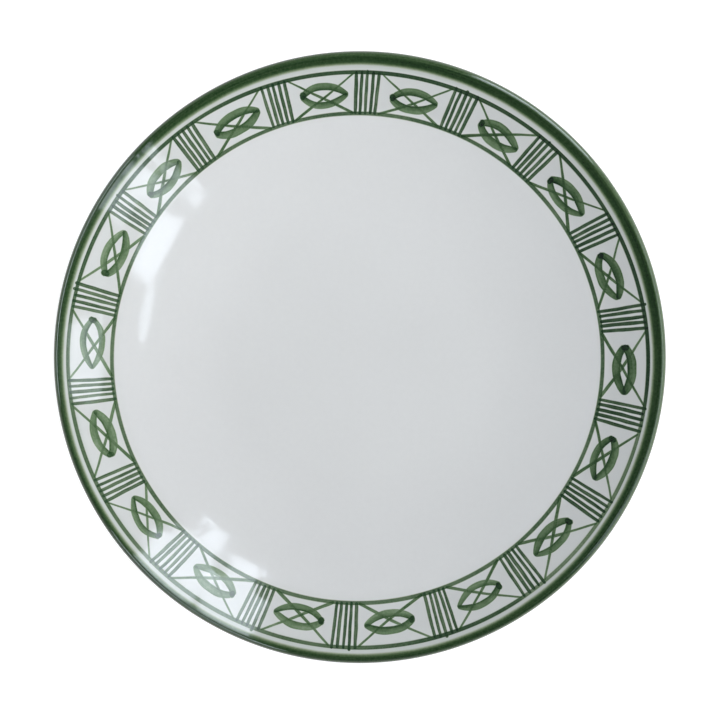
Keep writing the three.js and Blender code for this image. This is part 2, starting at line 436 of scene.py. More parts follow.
def paint_material(name, group, colours):
    """Green under the gloss. The pigment attribute is its depth, and at none the glaze's own white shows."""
    material, tree = new_material(name)
    shared = shared_glaze(tree, group)
    depth = add(tree, "Attribute")
    depth.attribute_name = "pigment"
    grain = math_node(tree, "MULTIPLY_ADD", shared.outputs["Mottle"], GRAIN_SPREAD, GRAIN_LOW)
    factor = math_node(tree, "DIVIDE", math_node(tree, "MULTIPLY", depth.outputs["Fac"], grain), DEEPEST)
    stain = ramp_node(tree, factor, [(at / DEEPEST, colour) for at, colour in zip(STAIN_DEPTHS, colours)])
    shader = glossy_shader(tree, shared)
    tree.links.new(multiply(tree, shared.outputs["Color"], stain), shader.inputs["Base Color"])
    return material


# What each green lets through, by the depth of colour.
STAIN_DEPTHS = (0.0, 0.25, 0.5, 1.0, 1.7, 2.5, DEEPEST)
LINE_STAIN = [
    CLEAR, (0.73, 0.75, 0.62), (0.46, 0.54, 0.38), (0.20, 0.29, 0.165),
    (0.066, 0.128, 0.062), (0.018, 0.056, 0.022), (0.006, 0.026, 0.011),
]
WASH_STAIN = [
    CLEAR, (0.74, 0.79, 0.65), (0.48, 0.59, 0.41), (0.205, 0.315, 0.165),
    (0.070, 0.142, 0.056), (0.020, 0.060, 0.020), (0.007, 0.028, 0.012),
]
RIM_STAIN = [
    CLEAR, (0.70, 0.74, 0.60), (0.45, 0.53, 0.36), (0.19, 0.275, 0.140),
    (0.062, 0.126, 0.044), (0.012, 0.054, 0.009), (0.004, 0.030, 0.004),
]
CLAY_DARK, CLAY_LIGHT = (0.60, 0.53, 0.43), (0.72, 0.66, 0.57)
CLAY_SCALE = 160
PIT_SCALE = 2600
PIT_STOPS = [(0.35, (0.84,) * 3), (0.5, CLEAR)]
PIT_DEPTH = 0.00008


def clay_material():
    material, tree = new_material("bare_clay")
    place = tree.nodes.new("ShaderNodeTexCoord").outputs["Object"]
    patches = noise_node(tree, place, CLAY_SCALE, 4, 0.6)
    colour = ramp_node(tree, patches, [(NOISE_LOW, CLAY_DARK), (NOISE_HIGH, CLAY_LIGHT)])
    pits = ramp_node(tree, noise_node(tree, place, PIT_SCALE, 2), PIT_STOPS)
    bump = add(tree, "Bump", Strength=0.6, Distance=PIT_DEPTH)
    tree.links.new(noise_node(tree, place, PIT_SCALE, 3), bump.inputs["Height"])
    shader = add(tree, "BsdfPrincipled", Roughness=0.85)
    tree.links.new(multiply(tree, colour, pits), shader.inputs["Base Color"])
    tree.links.new(bump.outputs["Normal"], shader.inputs["Normal"])
    finish(tree, shader)
    return material


glaze = glaze_group()
white_glaze = glaze_material(glaze)
bare_clay = clay_material()
line_green = paint_material("line_green", glaze, LINE_STAIN)
wash_green = paint_material("wash_green", glaze, WASH_STAIN)
rim_green = paint_material("rim_green", glaze, RIM_STAIN)


# ---- the turned pieces

FOOT_INNER = FOOT_RADIUS - FOOT_WIDTH
FOOT_TAPER = 1.2
FOOT_ROUND = 0.8  # radius of the corners of the standing edge
FOOT_FLAT = 1.4  # from the side of the foot in to its flat standing edge
ROOT_BEVEL = 0.3  # the small slope where the foot meets the body
FOOT_SIDE_TOP = FOOT_TOP - ROOT_BEVEL
FOOT_SIDE_END = 0.9
GLAZE_STOP = 1.4  # height above the table at which the glaze was wiped away
SKIN_STOP = GLAZE_STOP + 0.2  # and at which its inner skin ends
GLAZE_STOP_ROUND = 0.3
GLAZE_STOP_LIP = 0.12
SIDE_GLAZE = GLAZE * 0.8
STOP_GLAZE = GLAZE * 0.5
FILLET_WIDTH = 1.2
FILLET_DROP = 0.9
FILLET_START = 0.2
CORNER_RADIUS = 1.45
CORNER_WIDTH = 1.6
CLAY_TURN_STEPS = 192
GLAZE_TURN_STEPS = 288
SKIN_WALL_STEPS = 24
SKIN_LIP_STEPS = 12


def foot_side(inset, top, bottom, steps, outer=True):
    """Points down one side of the foot ring from one height to another, moved out by an inset."""
    points = []
    for t in np.linspace(0, 1, steps + 1):
        z = top + (bottom - top) * t
        lean = FOOT_TAPER * (1 - z / FOOT_TOP)
        points.append((FOOT_RADIUS - lean + inset if outer else FOOT_INNER + lean - inset, z))
    return points


def rounded(corner_r, corner_z, radius, start, end, steps):
    """A quarter round, its angles up from level."""
    return [
        (corner_r + radius * math.cos(t), corner_z + radius * math.sin(t))
        for t in np.linspace(math.radians(start), math.radians(end), steps + 1)
    ]


def fired_body():
    """The clay under the glaze with its foot ring, of which only the standing edge shows."""
    face = level(0, WELL_RADIUS, FLOOR_TOP - GLAZE, 6)
    face += arc(WALL_CURVE + GLAZE, 0, LIP_SLOPE, SKIN_WALL_STEPS)[1:]
    edge = lip(GLAZE, SKIN_LIP_STEPS)[1:]
    curve = BACK_CURVE - GLAZE
    back = arc(curve, LIP_SLOPE, back_angle(BACK_START, curve), 16)[1:]
    root = [(FOOT_RADIUS + 0.15, FOOT_TOP + 0.1)]
    outer = foot_side(0, FOOT_SIDE_TOP, FOOT_SIDE_END, 6)
    stand_outer, stand_inner = FOOT_RADIUS - FOOT_TAPER, FOOT_INNER + FOOT_TAPER
    turn_out = rounded(stand_outer - FOOT_ROUND, FOOT_ROUND, FOOT_ROUND, 0, -90, 6)
    stand = level(stand_outer - FOOT_FLAT, stand_inner + FOOT_FLAT, 0, 4)
    turn_in = rounded(stand_inner + FOOT_ROUND, FOOT_ROUND, FOOT_ROUND, -90, -180, 6)
    inner = foot_side(0, FOOT_SIDE_TOP, FOOT_SIDE_END, 6, outer=False)[::-1]
    under = level(FOOT_INNER - ROOT_BEVEL, 0, FOOT_TOP, 5)
    profile = face + edge + back + root + outer + turn_out + stand + turn_in + inner + under
    verts, faces = lathe(profile, CLAY_TURN_STEPS)
    return add_piece("Fired_body", verts, faces, bare_clay, ["plate_body", "foot_ring"])


def glaze_stop(outer):
    """The rounded lower edge of the glaze on one side of the foot ring."""
    stop = foot_side(STOP_GLAZE, GLAZE_STOP + GLAZE_STOP_LIP, GLAZE_STOP, 1, outer)
    return stop + foot_side(CLAY_GAP, GLAZE_STOP, GLAZE_STOP, 1, outer)[:1]


def glaze_coat():
    """The glaze over the face, the lip, the back and most of the foot's outer side."""
    face = level(0, WELL_RADIUS, FLOOR_TOP, 22) + arc(WALL_CURVE, 0, LIP_SLOPE, 54)[1:]
    edge = lip(0, 26)[1:]
    back = arc(BACK_CURVE, LIP_SLOPE, back_angle(BACK_START + FILLET_WIDTH, BACK_CURVE), 40)[1:]
    root_r, root_z = back[-1]
    fillet_r = FOOT_RADIUS + SIDE_GLAZE - root_r
    fillet_z = root_z - FOOT_TOP + FILLET_DROP
    fillet = [
        (root_r + fillet_r * math.sin(t), root_z - fillet_z * (1 - math.cos(t)))
        for t in np.linspace(FILLET_START, math.pi / 2, 8)
    ]
    side = foot_side(SIDE_GLAZE, FOOT_TOP - 1.2, GLAZE_STOP + GLAZE_STOP_ROUND, 6)
    skin = GLAZE - CLAY_GAP
    skin_curve = BACK_CURVE - skin
    skin_side = foot_side(CLAY_GAP, FOOT_SIDE_TOP, SKIN_STOP, 4)[::-1]
    skin_root = [(FOOT_RADIUS + 0.17, FOOT_TOP + 0.08)]
    skin_back = arc(skin_curve, LIP_SLOPE, back_angle(BACK_START, skin_curve), 16)[::-1]
    skin_lip = lip(skin, SKIN_LIP_STEPS)[::-1][1:]
    skin_face = arc(WALL_CURVE + skin, 0, LIP_SLOPE, SKIN_WALL_STEPS)[::-1][1:]
    skin_floor = level(WELL_RADIUS, 0, FLOOR_TOP - skin, 6)[1:]
    outside = face + edge + back + fillet + side + glaze_stop(True)
    inside = skin_side + skin_root + skin_back + skin_lip + skin_face + skin_floor
    verts, faces = lathe(outside + inside, GLAZE_TURN_STEPS)
    return add_piece("Glaze_coat", verts, faces, white_glaze, ["glaze_coat"])


def foot_recess_glaze():
    """The glaze inside the foot ring, with a soft corner down the ring's inner side."""
    edge_r = FOOT_INNER - CLAY_GAP
    top = FOOT_TOP - CLAY_GAP
    corner_r, corner_z = edge_r - CORNER_WIDTH, top - GLAZE
    under = level(0, corner_r, corner_z, 14)
    corner = [
        (corner_r + CORNER_RADIUS * math.sin(t), corner_z - CORNER_RADIUS * (1 - math.cos(t)))
        for t in np.linspace(0.2, 1.35, 7)
    ]
    side = foot_side(SIDE_GLAZE, FOOT_TOP - 1.9, GLAZE_STOP + GLAZE_STOP_ROUND, 5, outer=False)
    skin = foot_side(CLAY_GAP, top, SKIN_STOP, 5, outer=False)[::-1]
    profile = under + corner + side + glaze_stop(False) + skin + level(edge_r - 0.4, 0, top, 8)
    verts, faces = lathe(profile, CLAY_TURN_STEPS)
    faces = [f[::-1] for f in faces]
    return add_piece("Foot_recess_glaze", verts, faces, white_glaze, ["foot_recess_glaze"])


# ---- brush strokes

def polar(angle, radius):
    """A point of the border in plan, from degrees clockwise from +Y and a radius."""
    turn = np.radians(angle)
    return np.column_stack([np.sin(turn) * radius, np.cos(turn) * radius]) + BORDER_CENTRE


def wander(x, seed):
    """Smooth unevenness of a hand, about -1 to 1, along x."""
    row, column = seed * 7.31, seed * 1.7
    return np.array([noise.fractal(Vector((v, row, column)), 0.6, 2.0, 2) for v in x])


def smooth_step(x):
    x = np.clip(x, 0, 1)
    return x * x * (3 - 2 * x)


DEGREES = np.arange(0, 361)
EDGE = 0.32  # width over which a stroke's edge fades into the glaze
# How little crossing strokes add to each other: 1 is a plain sum, and a high number is the deeper one alone.
BLEND = 2.2
ALMOND_BLEND = 4.0
BRUSH_REACH = 0.04  # how far a stroke's mesh goes past its soft edge
STREAK = 0.22
STREAKS_ACROSS = 2.2
STREAKS_ALONG = 0.16


def pooling(across):
    """How colour gathers from a stroke's middle, at 0, to its edge, at 1."""
    return np.clip(across, 0, 1) ** 4 * 1.6 - 0.6


class Stroke:
    """A brush stroke in plan: a centreline, its half-widths, and the depth of colour along and across it."""

    def __init__(self, line, half_width, depth, rim=0.25, skew=0.0, seed=0):
        self.line = np.asarray(line, float)
        steps = np.diff(self.line, axis=0)
        lengths = np.hypot(steps[:, 0], steps[:, 1])
        self.along = np.concatenate([[0], np.cumsum(lengths)])
        self.half = np.ones(len(self.line)) * half_width
        self.depth = np.ones(len(self.line)) * depth
        self.rim = rim
        self.skew = skew
        self.seed = seed
        tangent = np.gradient(self.line, axis=0)
        tangent /= np.hypot(tangent[:, 0], tangent[:, 1])[:, None]
        self.side = np.column_stack([-tangent[:, 1], tangent[:, 0]])

    def depth_at(self, along, offset):
        """Depth of colour at distances along the stroke and offsets to its left."""
        half = np.interp(along, self.along, self.half)
        depth = np.interp(along, self.along, self.depth)
        to_end = np.minimum(along, self.along[-1] - along)
        out = np.hypot(offset, np.maximum(half + EDGE / 2 - to_end, 0))
        fade = smooth_step((half + EDGE / 2 - out) / EDGE)
        across = np.clip(offset / half, -1, 1)
        pooled = 1 + self.rim * pooling(out / half) + self.skew * across
        layer = self.seed * 3.7
        streak = np.array([
            noise.noise(Vector((o * STREAKS_ACROSS, a * STREAKS_ALONG, layer))) for a, o in zip(along, offset)
        ])
        return np.maximum(depth * pooled * (1 + STREAK * streak), 0) * fade

    def locate(self, xy):
        """Distance along and offset to the left of the nearest point of the centreline, for plan points."""
        a, b = self.line[:-1], self.line[1:]
        d = b - a
        rel = xy[:, None, :] - a[None]
        t = np.clip((rel * d[None]).sum(2) / (d ** 2).sum(1)[None], 0, 1)
        foot = a[None] + t[..., None] * d[None]
        gap = xy[:, None, :] - foot
        dist = np.hypot(gap[..., 0], gap[..., 1])
        k = dist.argmin(1)
        rows = np.arange(len(xy))
        along = self.along[k] + t[rows, k] * np.hypot(d[k, 0], d[k, 1])
        cross = d[k, 0] * gap[rows, k, 1] - d[k, 1] * gap[rows, k, 0]
        return along, np.where(cross < 0, -1, 1) * dist[rows, k]

    def cover(self, xy):
        """Depth of this stroke's colour at points in plan."""
        low, high = self.line.min(0) - 3, self.line.max(0) + 3
        inside = ((xy > low) & (xy < high)).all(1)
        out = np.zeros(len(xy))
        if inside.any():
            along, offset = self.locate(xy[inside])
            out[inside] = self.depth_at(along, offset)
        return out


class RingLine:
    """A banding line turned round the border's centre, uneven in depth and a little in width."""

    POOLING = 0.3

    def __init__(self, radius, half_width, depth, fade_in, seed):
        self.radius, self.half_width, self.depth, self.fade_in = radius, half_width, depth, fade_in
        self.wobble = 0.10 * ring_noise(3, seed)
        self.width = 1 + 0.10 * ring_noise(9, seed + 1)

    def depth_at(self, angle, offset):
        half = self.half_width * np.interp(angle % 360, DEGREES, self.width)
        gap = offset - np.interp(angle % 360, DEGREES, self.wobble)
        inside = np.where(gap < 0, self.fade_in, EDGE)
        fade = smooth_step((half + inside / 2 - np.abs(gap)) / inside)
        pooled = 1 + self.POOLING * pooling(np.abs(gap) / half)
        return self.depth(angle) * pooled * fade

    def cover(self, xy):
        rel = xy - BORDER_CENTRE
        angle = np.degrees(np.arctan2(rel[:, 0], rel[:, 1])) % 360
        return self.depth_at(angle, np.hypot(rel[:, 0], rel[:, 1]) - self.radius(angle))


def circle_noise(turn, cycles, layer, octaves=2):
    """Unevenness round the plate at turns in radians, about -1 to 1, which meets itself."""
    k = cycles / 3.14
    return np.array([
        noise.fractal(Vector((k * math.sin(t), k * math.cos(t), layer)), 0.6, 2.0, octaves) for t in turn
    ])


def ring_noise(cycles, seed):
    """Unevenness of a banding line at every degree."""
    return circle_noise(np.radians(DEGREES), cycles, seed * 5.3, 3)


ACROSS = np.array([-1, -0.82, -0.66, -0.45, -0.2, 0, 0.2, 0.45, 0.66, 0.82, 1])
AT_EDGE = np.abs(ACROSS) > 0.999
EDGE_HEIGHT = -0.01  # the edges of a stroke and its underside lie below the glaze
UNDERSIDE = -0.05
RING_REACH = 1.15  # room for the widest place of a banding line, and for its wobble
RING_MARGIN = 0.12


def shell(rows, columns, closed):
    """Faces of a closed thin solid over a grid of points, its underside's points numbered after the top's."""
    n = rows * columns
    faces = []
    for i in range(rows if closed else rows - 1):
        left, left_next = i * columns, (i + 1) % rows * columns
        right, right_next = left + columns - 1, left_next + columns - 1
        for a, b in zip(range(left, right), range(left_next, right_next)):
            faces.append((a, b, b + 1, a + 1))
            faces.append((n + a, n + a + 1, n + b + 1, n + b))
        faces.append((left_next, left, n + left, n + left_next))
        faces.append((right, right_next, n + right_next, n + right))
    if not closed:
        for a in range(columns - 1):
            b = (rows - 1) * columns + a
            faces.append((a, a + 1, n + a + 1, n + a))
            faces.append((b + 1, b, n + b, n + b + 1))
    return faces


def ribbon(points, heights, closed):
    """A thin solid that follows the glaze over a grid of plan points, with the glaze's own normals."""
    flat = points.reshape(-1, 2)
    ground = face_height(np.hypot(flat[:, 0], flat[:, 1]))
    top = np.column_stack([flat, ground + heights.ravel()])
    under = np.column_stack([flat, ground + UNDERSIDE])
    normals = face_normals(flat)
    return np.vstack([top, under]), shell(*points.shape[:2], closed), np.vstack([normals, normals])


def ribbon_heights(rows, height):
    return np.where(AT_EDGE[None, :], EDGE_HEIGHT, height) * np.ones((rows, 1))


def merge(parts):
    """One mesh of several strokes."""
    faces, offset = [], 0
    for part_verts, part_faces, _, _ in parts:
        faces.extend(tuple(i + offset for i in face) for face in part_faces)
        offset += len(part_verts)
    verts, _, normals, pigment = zip(*parts)
    return np.vstack(verts), faces, np.vstack(normals), np.concatenate(pigment)


def stroke_part(stroke, height, under, blend=BLEND):
    """The mesh of one stroke. What is painted under it adds to its depth of colour."""
    reach = stroke.half + EDGE / 2 + BRUSH_REACH
    offsets = ACROSS[None, :] * reach[:, None]
    points = stroke.line[:, None, :] + offsets[..., None] * stroke.side[:, None, :]
    flat = points.reshape(-1, 2)
    along = np.repeat(stroke.along, len(ACROSS))
    own = stroke.depth_at(along, offsets.ravel())
    own[np.tile(AT_EDGE, len(stroke.line))] = 0
    depth = own ** blend
    for other in under:
        depth = depth + other.cover(flat) ** blend
    depth = depth ** (1 / blend)
    heights = ribbon_heights(len(stroke.line), height)
    verts, faces, normals = ribbon(points, heights, False)
    return verts, faces, normals, np.concatenate([depth, depth])


def ring_part(line, height, steps=1080):
    """The mesh of a banding line."""
    angles = np.arange(steps) * 360 / steps
    reach = line.half_width * RING_REACH + max(EDGE, line.fade_in) / 2 + RING_MARGIN
    grid_angle, offset = np.meshgrid(angles, ACROSS * reach, indexing="ij")
    flat = polar(grid_angle.ravel(), (line.radius(grid_angle) + offset).ravel())
    own = line.depth_at(grid_angle.ravel(), offset.ravel())
    points = flat.reshape(steps, len(ACROSS), 2)
    verts, faces, normals = ribbon(points, ribbon_heights(steps, height), True)
    return verts, faces, normals, np.concatenate([own, own])


def spread(count):
    """Steps from 0 to 1, closer together at both ends, where a stroke is rounded off."""
    t = np.linspace(0, 1, count)
    return t - 0.8 * np.sin(2 * math.pi * t) / (2 * math.pi)


def group_angle(index):
    """Middle of a group of bars: the groups crowd a little to one side and stand loosely in pairs."""
    place = GROUP_SPACING * index
    sway = GROUP_SWAY * math.sin(math.radians(place + GROUP_SWAY_PHASE))
    pairing = -GROUP_PAIRING if index % 2 == 0 else GROUP_PAIRING
    return FIRST_GROUP + place - sway + pairing


def around(angle, peak):
    """1 towards one side of the plate and -1 towards the other, both angles in degrees."""
    return np.cos(np.radians(angle - peak))


def bump_at(angle, middle, width):
    return np.exp(-((angle % 360 - middle) / width) ** 2)


HEAVY_SIDE = 70  # the direction in which the brush was most loaded: the upper right


def strength(angle):
    """How heavily the brush was loaded round the border: most at the upper right, least at the lower left."""
    return 0.94 + 0.17 * around(angle, HEAVY_SIDE)


INNER_UNEVEN = 0.16 * ring_noise(16, 41)
OUTER_UNEVEN = 0.14 * ring_noise(16, 43)
PALE_START, PALE_END = 97, 147


def inner_depth(angle):
    base = 1.75 + 0.15 * around(angle, HEAVY_SIDE)
    return base * (1 + np.interp(angle % 360, DEGREES, INNER_UNEVEN))


def outer_depth(angle):
    """The outer line is darkest at the upper right, and palest just before it meets itself."""
    base = 2.0 + 0.62 * around(angle, 45)
    base = base + 0.4 * bump_at(angle, 90, 7.0) + 0.5 * bump_at(angle, 158, 12.0)
    pale = smooth_step((angle % 360 - PALE_START) / 8) * smooth_step((PALE_END - angle % 360) / 4)
    return (base - 0.45 * base * pale) * (1 + np.interp(angle % 360, DEGREES, OUTER_UNEVEN))


inner_line = RingLine(inner_radius, LINE_WIDTH / 2, inner_depth, 0.55, 51)
outer_line = RingLine(outer_radius, LINE_WIDTH / 2, outer_depth, 0.4, 52)

chance = random.Random(SEED)


BAR_STEPS = 44
STROKE_STEPS = 72
CORNER_OUTER = 0.45  # degrees from a bar to the end of a diagonal at the outer line
CORNER_INNER = 0.40  # and at the inner line


def bar_strokes(group):
    """The five bars of a group, each from just inside the inner line to just past the outer one."""
    strokes = []
    load = strength(group_angle(group))
    for i in range(BARS):
        angle = group_angle(group) + (i - (BARS - 1) / 2) * BAR_SPACING + chance.uniform(-0.05, 0.05)
        lean = BAR_LEAN + chance.uniform(-0.05, 0.05)
        foot = inner_radius(angle) - 0.5 + chance.uniform(-0.25, 0.3)
        tip = outer_radius(angle) + 0.4 + chance.choice([0, 0, 0, 0.3, 0.5, 0.9, 1.5]) * chance.random()
        t = spread(BAR_STEPS)
        bend = chance.uniform(-0.07, 0.07)
        seed = chance.uniform(0, 100)
        angles = angle + (t - 0.5) * lean + bend * np.sin(math.pi * t) + 0.05 * wander(t * 3, seed)
        uneven = 1 + 0.10 * wander(t * 4, seed + 1) - 0.06 * np.cos(2 * math.pi * t)
        half = 0.5 * BAR_WIDTH * chance.uniform(0.88, 1.10) * uneven
        body = chance.uniform(1.75, 2.2) * load
        depth = body * (1 + 0.16 * np.abs(2 * t - 1) ** 3 + 0.14 * wander(t * 3, seed + 2))
        line = polar(angles, foot + (tip - foot) * t)
        strokes.append(Stroke(line, half, depth, 0.32, chance.uniform(-0.15, 0.15), seed))
    return strokes


def panel_middle(panel):
    return (group_angle(panel) + group_angle(panel + 1)) / 2


def cross_strokes(panel):
    """The two diagonals between the corners of neighbouring groups, thin at the outer line."""
    strokes = []
    bars = (BARS - 1) / 2 * BAR_SPACING
    near, far = group_angle(panel) + bars, group_angle(panel + 1) - bars
    for high, low in ((near + CORNER_OUTER, far - CORNER_INNER), (far - CORNER_OUTER, near + CORNER_INNER)):
        high = high + BAR_LEAN / 2 + chance.uniform(-0.2, 0.2)
        low = low - BAR_LEAN / 2 + chance.uniform(-0.2, 0.2)
        start = polar(high, outer_radius(high) - 0.1)[0]
        end = polar(low, inner_radius(low))[0]
        t = spread(STROKE_STEPS)
        seed = chance.uniform(0, 100)
        across = np.array([-(end - start)[1], (end - start)[0]])
        across /= np.hypot(*across)
        bow = chance.uniform(-0.5, 0.7)
        sway = bow * np.sin(math.pi * t) + 0.18 * wander(t * 3, seed)
        line = start + (end - start) * t[:, None] + across * sway[:, None]
        width = (0.37 + 0.21 * smooth_step(t * 1.3)) * chance.uniform(0.86, 1.18)
        half = width * (1 + 0.12 * wander(t * 5, seed + 1))
        body = strength(panel_middle(panel)) * chance.uniform(1.35, 1.7)
        depth = body * (1 + 0.18 * wander(t * 4, seed + 2) + 0.12 * t)
        strokes.append(Stroke(line, half, depth, 0.18, 0, seed))
    return strokes


def almond_strokes(panel):
    """Two thick arcs that meet in rounded points, and the dark dab where the brush was first set down."""
    middle = panel_middle(panel)
    facing = -1 if panel == BACKWARD_ALMOND else 1
    tilt = math.radians(chance.uniform(-5, 4) - middle)
    place = middle + ALMOND_SHIFT + chance.uniform(-0.35, 0.35)
    between = (inner_radius(place) + outer_radius(place)) / 2 - ALMOND_DROP
    centre = polar(place, between + chance.uniform(-0.6, 0.6))[0]
    turn = np.array([[math.cos(tilt), -math.sin(tilt)], [math.sin(tilt), math.cos(tilt)]])
    load = strength(middle)
    reach = ALMOND_REACH * chance.uniform(0.95, 1.05)

    def placed(x, y):
        return np.column_stack([facing * x, y]) @ turn.T + centre

    strokes = []
    t = spread(STROKE_STEPS)
    u = (2 * t - 1) * ALMOND_OVERSHOOT
    fat = chance.uniform(0.9, 1.16)
    for side in (1, -1):
        seed = chance.uniform(0, 100)
        width = ALMOND_STROKE * fat * chance.uniform(0.90, 1.14)
        rise = (ALMOND_RISE + (ALMOND_STROKE - width) / 2) * chance.uniform(0.95, 1.05)
        fullness = np.where(u < 0, 2.6, chance.uniform(1.75, 2.3))
        bulge = 1 - np.abs(u) ** fullness
        points = placed(reach * u, side * rise * bulge + 0.14 * wander(t * 3, seed))
        taper = 1 - 0.30 * np.clip(-u, 0, 1) ** 3 - 0.46 * np.clip(u, 0, 1) ** 3
        half = 0.5 * width * taper * (1 + 0.07 * wander(t * 4, seed + 1))
        body = chance.uniform(1.35, 1.75) * load
        pool = 0.30 * np.exp(-((1 - t) * 9) ** 2) + 0.25 * np.exp(-(t * 7) ** 2)
        depth = body * (1 + pool + 0.18 * wander(t * 2.5, seed + 2))
        strokes.append(Stroke(points, half, depth, 0.26, -side * facing * chance.uniform(0.14, 0.38), seed))
    t = np.linspace(-0.5, 0.5, 24)
    length = DAB_LENGTH * chance.uniform(0.8, 1.15)
    lean, sink = chance.uniform(-0.35, 0.55), chance.uniform(-0.3, 0.6)
    line = placed(-reach + 0.55 + lean * length * t + 0.5 * (2 * t) ** 2, sink + length * t)
    half = 0.5 * DAB_WIDTH * chance.uniform(0.85, 1.1) * (1 + 0.2 * t) * np.sqrt(1 - 1.6 * t ** 2)
    strokes.append(Stroke(line, half, chance.uniform(2.3, 2.9) * load, 0.12, 0, chance.uniform(0, 100)))
    return strokes


def add_strokes(name, parts, material, nodes):
    verts, faces, normals, pigment = merge(parts)
    return add_piece(name, verts, faces, material, nodes, normals, pigment)


def add_lines(name, parts):
    add_strokes(name, parts, line_green, ["border_lines_and_bars"])


# Heights of the films of colour above the glaze, with a step from each stroke to the one brushed over it.
LINE_HEIGHT = 0.02
BAR_HEIGHT, BAR_STEP = 0.035, 0.004
CROSS_HEIGHT, CROSS_STEP = 0.060, 0.01
ALMOND_HEIGHT, ALMOND_STEP = 0.085, 0.012


def paint_border():
    add_lines("Inner_line", [ring_part(inner_line, LINE_HEIGHT)])
    add_lines("Outer_line", [ring_part(outer_line, LINE_HEIGHT)])
    rings = [inner_line, outer_line]
    bars = [bar_strokes(g) for g in range(GROUPS)]
    for g, strokes in enumerate(bars):
        parts = []
        for i, s in enumerate(strokes):
            parts.append(stroke_part(s, BAR_HEIGHT + BAR_STEP * i, rings + strokes[:i]))
        add_lines(f"Bars_{g + 1:02d}", parts)
    for panel in range(GROUPS):
        node = f"almond_motif_{panel + 1:02d}"
        cross, almond = cross_strokes(panel), almond_strokes(panel)
        below = rings + [bars[panel][-1], bars[(panel + 1) % GROUPS][0]]
        crossing, arcs = [], []
        for i, s in enumerate(cross):
            crossing.append(stroke_part(s, CROSS_HEIGHT + CROSS_STEP * i, below + cross[:i]))
        for i, s in enumerate(almond):
            arcs.append(stroke_part(s, ALMOND_HEIGHT + ALMOND_STEP * i, cross + almond[:i], ALMOND_BLEND))
        add_strokes(f"Cross_{panel + 1:02d}", crossing, wash_green, [node])
        add_strokes(f"Almond_{panel + 1:02d}", arcs, wash_green, [node])


# ---- the rim band

BAND_FADE = 2.6  # width over which its inner edge fades in
BAND_FOOT = 0.82  # from where it starts to fade in to its edge as seen
BAND_START = 0.9  # from the start of its mesh to where it starts to fade in
BAND_END = math.radians(-46)  # where it ends round the lip, which runs from 90 to -90 degrees
BAND_LIFT = 0.03
BAND_TURN_STEPS, BAND_WALL_ROWS, BAND_LIP_ROWS = 900, 14, 22
BAND_DARK = 2.35
THIN_FROM, THIN_OVER = 3.8, 1.2  # where the colour thins over the lip, from its inner edge


def rim_band():
    """The band of green round the lip: its soft inner edge follows the border, and it thins over the lip."""
    angles = np.arange(BAND_TURN_STEPS) * 360 / BAND_TURN_STEPS
    sine, cosine = np.sin(np.radians(angles)), np.cos(np.radians(angles))
    edge = band_radius(angles) + BORDER_CENTRE[0] * sine + BORDER_CENTRE[1] * cosine - BAND_FOOT
    inner_start = edge - BAND_START
    t = np.linspace(0, 1, BAND_WALL_ROWS, endpoint=False)[:, None]
    wall_r = inner_start + (WALL_END_R - inner_start) * t
    lean = (wall_r - WELL_RADIUS) / WALL_CURVE
    lip_r, lip_z = np.transpose(lip(0, BAND_LIP_ROWS - 1, BAND_END))
    lip_normal_r, lip_normal_z = np.transpose(lip_normals(BAND_LIP_ROWS - 1, BAND_END))
    lip_steps = np.hypot(np.diff(lip_r, prepend=WALL_END_R), np.diff(lip_z, prepend=face_height(WALL_END_R)))

    def row_values(on_wall, on_lip):
        """Values row by row, from the inner edge out over the wall and on round the lip."""
        return np.vstack([on_wall, np.repeat(on_lip[:, None], BAND_TURN_STEPS, axis=1)])

    radius = row_values(wall_r, lip_r)
    height = row_values(face_height(wall_r), lip_z)
    normal_r = row_values(-lean, lip_normal_r)
    normal_z = row_values(np.sqrt(1 - lean ** 2), lip_normal_z)
    travel = row_values(wall_r, WALL_END_R + np.cumsum(lip_steps)) - edge
    rows = len(radius)
    lift = np.full((rows, 1), BAND_LIFT)
    lift[0] = lift[-1] = EDGE_HEIGHT
    pigment = band_depth(np.broadcast_to(angles, travel.shape), travel, height)
    pigment[0] = pigment[-1] = 0

    def turned(r, z):
        """Points or normals in the order of the shell: across the band, then on round the plate."""
        return np.column_stack([(r * sine).T.ravel(), (r * cosine).T.ravel(), z.T.ravel()])

    top, under = (turned(radius + normal_r * up, height + normal_z * up) for up in (lift, UNDERSIDE))
    normals = turned(normal_r, normal_z)
    depth = pigment.T.ravel()
    add_piece("Rim_band", np.vstack([top, under]), shell(BAND_TURN_STEPS, rows, True), rim_green,
              ["rim_band"], np.vstack([normals, normals]), np.concatenate([depth, depth]))


def band_depth(angle, travel, height):
    """Depth of the band's colour, from its angle and its distance out from the band's inner edge."""
    circle = np.arange(BAND_TURN_STEPS) * 360 / BAND_TURN_STEPS
    turn = np.radians(circle)
    waver = 0.22 * circle_noise(turn, 5, 3.3) + 0.10 * circle_noise(turn, 30, 8.1)
    soft = BAND_FADE * (0.84 + 0.16 * (0.5 - 0.5 * around(circle, HEAVY_SIDE)))
    inner = smooth_step((travel - waver) / soft)
    dark = BAND_DARK - 0.25 * (0.5 - 0.5 * around(angle, HEAVY_SIDE))
    spent = smooth_step((travel - THIN_FROM) / THIN_OVER)
    streaks = np.zeros_like(travel)
    for row, lane in zip(streaks, travel.mean(axis=1)):
        row[:] = [
            noise.noise(Vector((2.6 * math.sin(t), 2.6 * math.cos(t), lane * 2.4)))
            + 0.6 * noise.noise(Vector((9 * math.sin(t), 9 * math.cos(t), lane * 4.6 + 31)))
            for t in turn
        ]
    # The colour thins over the lip, more towards the right: partly the paint's real thinning over the edge,
    # partly a painted reflection of the light the lip mirrors there.
    thinning_and_sheen = 0.28 + 0.20 * around(angle, 100)
    depth = dark * (1 - thinning_and_sheen * spent) * (1 + 0.16 * streaks)
    ragged = 0.35 * np.abs(circle_noise(turn, 60, 5.5))
    below = smooth_step((height - height[-1] - ragged) / 0.5)
    return np.maximum(depth, 0) * inner * below


fired_body()
glaze_coat()
foot_recess_glaze()
rim_band()
paint_border()


